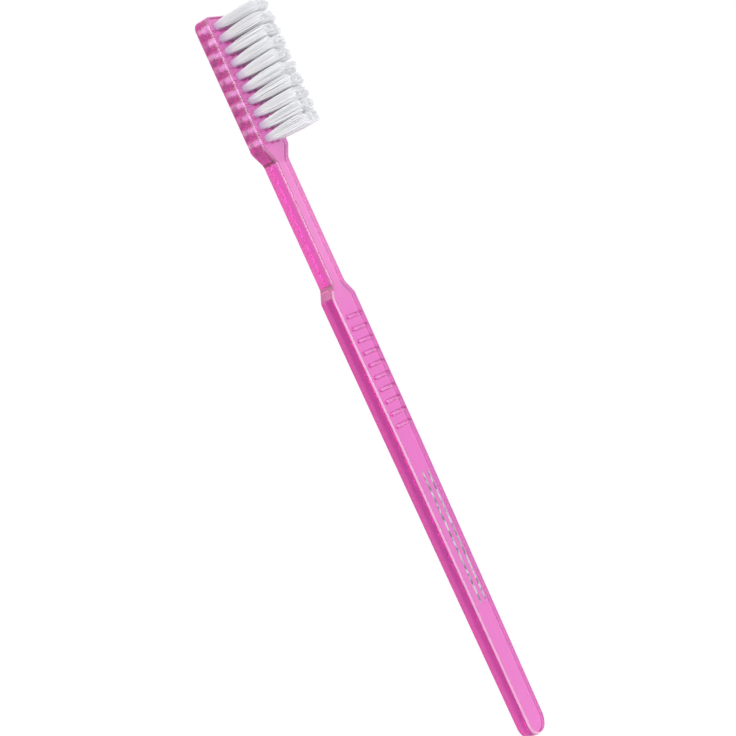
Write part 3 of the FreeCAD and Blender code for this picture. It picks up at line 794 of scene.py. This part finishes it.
# Rounded ends of a stripe: corner radius as a share of its width, just under half, and facets.
END_ROUNDING = 0.499
END_FACETS = 6


def model_stripe(settings, across):
    """A thin stripe with round ends, laid on the face."""
    bpy.ops.object.select_all(action="DESELECT")
    middle = settings.start + settings.length / 2
    bpy.ops.mesh.primitive_plane_add(size=1, location=(middle, across, 0))
    stripe = bpy.context.object
    stripe.scale = (settings.length, settings.width, 1)
    bpy.ops.object.transform_apply(location=True, rotation=True, scale=True)
    bpy.ops.object.mode_set(mode="EDIT")
    bpy.ops.mesh.select_all(action="SELECT")
    bpy.ops.mesh.bevel(
        offset=settings.width * END_ROUNDING, affect="VERTICES", segments=END_FACETS, profile=0.5)
    bpy.ops.mesh.extrude_region_move(TRANSFORM_OT_translate={"value": (0, 0, settings.thickness)})
    bpy.ops.mesh.select_all(action="SELECT")
    bpy.ops.mesh.normals_make_consistent(inside=False)
    bpy.ops.object.mode_set(mode="OBJECT")
    for vertex in stripe.data.vertices:
        vertex.co.z += face_height(vertex.co.x, vertex.co.y)
    return stripe


class TOOTHBRUSH_OT_foil_stripes(bpy.types.Operator):
    """Lay two plain foil stripes on the face of the grip"""

    bl_idname = "toothbrush.foil_stripes"
    bl_label = "Foil Stripes"

    def execute(self, context):
        settings = context.scene.toothbrush_foil
        stripes = [model_stripe(settings, side * settings.spread / 2) for side in (-1, 1)]
        select_only(*stripes)
        bpy.ops.object.join()
        foil = bpy.context.object
        foil.name = foil.data.name = "foil_stripes"
        dress(foil, stamped_foil(settings))
        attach(foil, "root")
        return {"FINISHED"}


# Light turns many times inside the clear handle before it leaves it, and between the white filaments.
GLASS_BOUNCES = 24
TUFT_BOUNCES = 10
# Floor: size, and its gap to the back of the brush. Softboxes: place and size, in metres.
FLOOR_SIZE = 4.0
FLOOR_GAP = 0.1 * MM
KEY_PLACE, KEY_SIZE = (-0.25, -0.45, 0.85), 0.7
FILL_PLACE, FILL_SIZE = (0.7, 0.5, 0.6), 0.8
# Camera: sensor width in its own millimetres, and the nearest distance that it shows.
SENSOR_WIDTH = 36.0
CLIP_START = 10 * MM


def add_softbox(name, place, size, watts):
    """A square lamp that faces the middle of the brush."""
    bpy.ops.object.light_add(type="AREA", location=place)
    lamp = bpy.context.object
    lamp.name = lamp.data.name = name
    lamp.data.size = size
    lamp.data.energy = watts
    lamp.rotation_euler = (-Vector(place)).to_track_quat("-Z", "Y").to_euler()


def white_surround(strength):
    """An even white room: white to the eye, in gloss and in glass, softer as light."""
    world = bpy.data.worlds.new("white_surround")
    bpy.context.scene.world = world
    world.use_nodes = True
    tree = world.node_tree
    tree.nodes.clear()
    light, seen = (add_node(tree, "ShaderNodeBackground", {"Color": WHITE, "Strength": level}).outputs[0]
                   for level in (strength, 1.0))
    room = mixed(tree, seen_white(tree, 1.0), light, seen)
    add_node(tree, "ShaderNodeOutputWorld", {"Surface": room})


def add_camera(settings):
    """The camera of the photograph's view."""
    aim = Vector(settings.camera_target) - Vector(settings.camera_place)
    roll = Matrix.Rotation(settings.camera_roll, 3, "Z")
    turn = (aim.to_track_quat("-Z", "Y").to_matrix() @ roll).to_euler()
    bpy.ops.object.camera_add(location=settings.camera_place, rotation=turn)
    camera = bpy.context.object
    camera.name = "camera"
    camera.data.lens = settings.lens
    camera.data.sensor_width = SENSOR_WIDTH
    camera.data.clip_start = CLIP_START
    bpy.context.scene.camera = camera


class TOOTHBRUSH_OT_studio(bpy.types.Operator):
    """Set up the white floor, the soft light and the camera"""

    bl_idname = "toothbrush.studio"
    bl_label = "Studio"

    def execute(self, context):
        scene = context.scene
        settings = scene.toothbrush_studio
        bpy.ops.object.select_all(action="DESELECT")
        bpy.ops.mesh.primitive_plane_add(size=FLOOR_SIZE, location=(0, 0, CAD_BOX[0].z - FLOOR_GAP))
        floor = context.object
        floor.name = "floor"
        dress(floor, white_paper(settings))
        add_softbox("key_light", KEY_PLACE, KEY_SIZE, settings.key_watts)
        add_softbox("fill_light", FILL_PLACE, FILL_SIZE, settings.fill_watts)
        white_surround(settings.surround)
        add_camera(settings)
        scene.view_settings.view_transform = "Standard"
        scene.cycles.max_bounces = scene.cycles.transmission_bounces = GLASS_BOUNCES
        scene.cycles.diffuse_bounces = TUFT_BOUNCES
        return {"FINISHED"}


class TOOTHBRUSH_PT_pieces(bpy.types.Panel):
    """Sizes, colours and steps of the brush"""

    bl_idname = "TOOTHBRUSH_PT_pieces"
    bl_label = "Toothbrush"
    bl_space_type = "VIEW_3D"
    bl_region_type = "UI"
    bl_category = "Toothbrush"

    def draw(self, context):
        for (name, group), kind in zip(SETTINGS, OPERATORS):
            box = self.layout.box()
            box.operator(kind.bl_idname)
            for setting in group.__annotations__:
                box.prop(getattr(context.scene, name), setting)


SETTINGS = (
    ("toothbrush_handle", HandleSettings),
    ("toothbrush_tufts", TuftSettings),
    ("toothbrush_anchors", AnchorSettings),
    ("toothbrush_foil", FoilSettings),
    ("toothbrush_studio", StudioSettings),
)
OPERATORS = (
    TOOTHBRUSH_OT_clear_handle,
    TOOTHBRUSH_OT_filament_tufts,
    TOOTHBRUSH_OT_anchor_plates,
    TOOTHBRUSH_OT_foil_stripes,
    TOOTHBRUSH_OT_studio,
)


def register():
    for name, group in SETTINGS:
        bpy.utils.register_class(group)
        setattr(bpy.types.Scene, name, bpy.props.PointerProperty(type=group))
    for kind in (*OPERATORS, TOOTHBRUSH_PT_pieces):
        bpy.utils.register_class(kind)


def unregister():
    for kind in (TOOTHBRUSH_PT_pieces, *reversed(OPERATORS)):
        bpy.utils.unregister_class(kind)
    for name, group in reversed(SETTINGS):
        delattr(bpy.types.Scene, name)
        bpy.utils.unregister_class(group)


def main():
    """Build every piece in order."""
    register()
    bpy.ops.toothbrush.clear_handle()
    bpy.ops.toothbrush.filament_tufts()
    bpy.ops.toothbrush.anchor_plates()
    bpy.ops.toothbrush.foil_stripes()
    bpy.ops.toothbrush.studio()


if __name__ == "__main__":
    main()
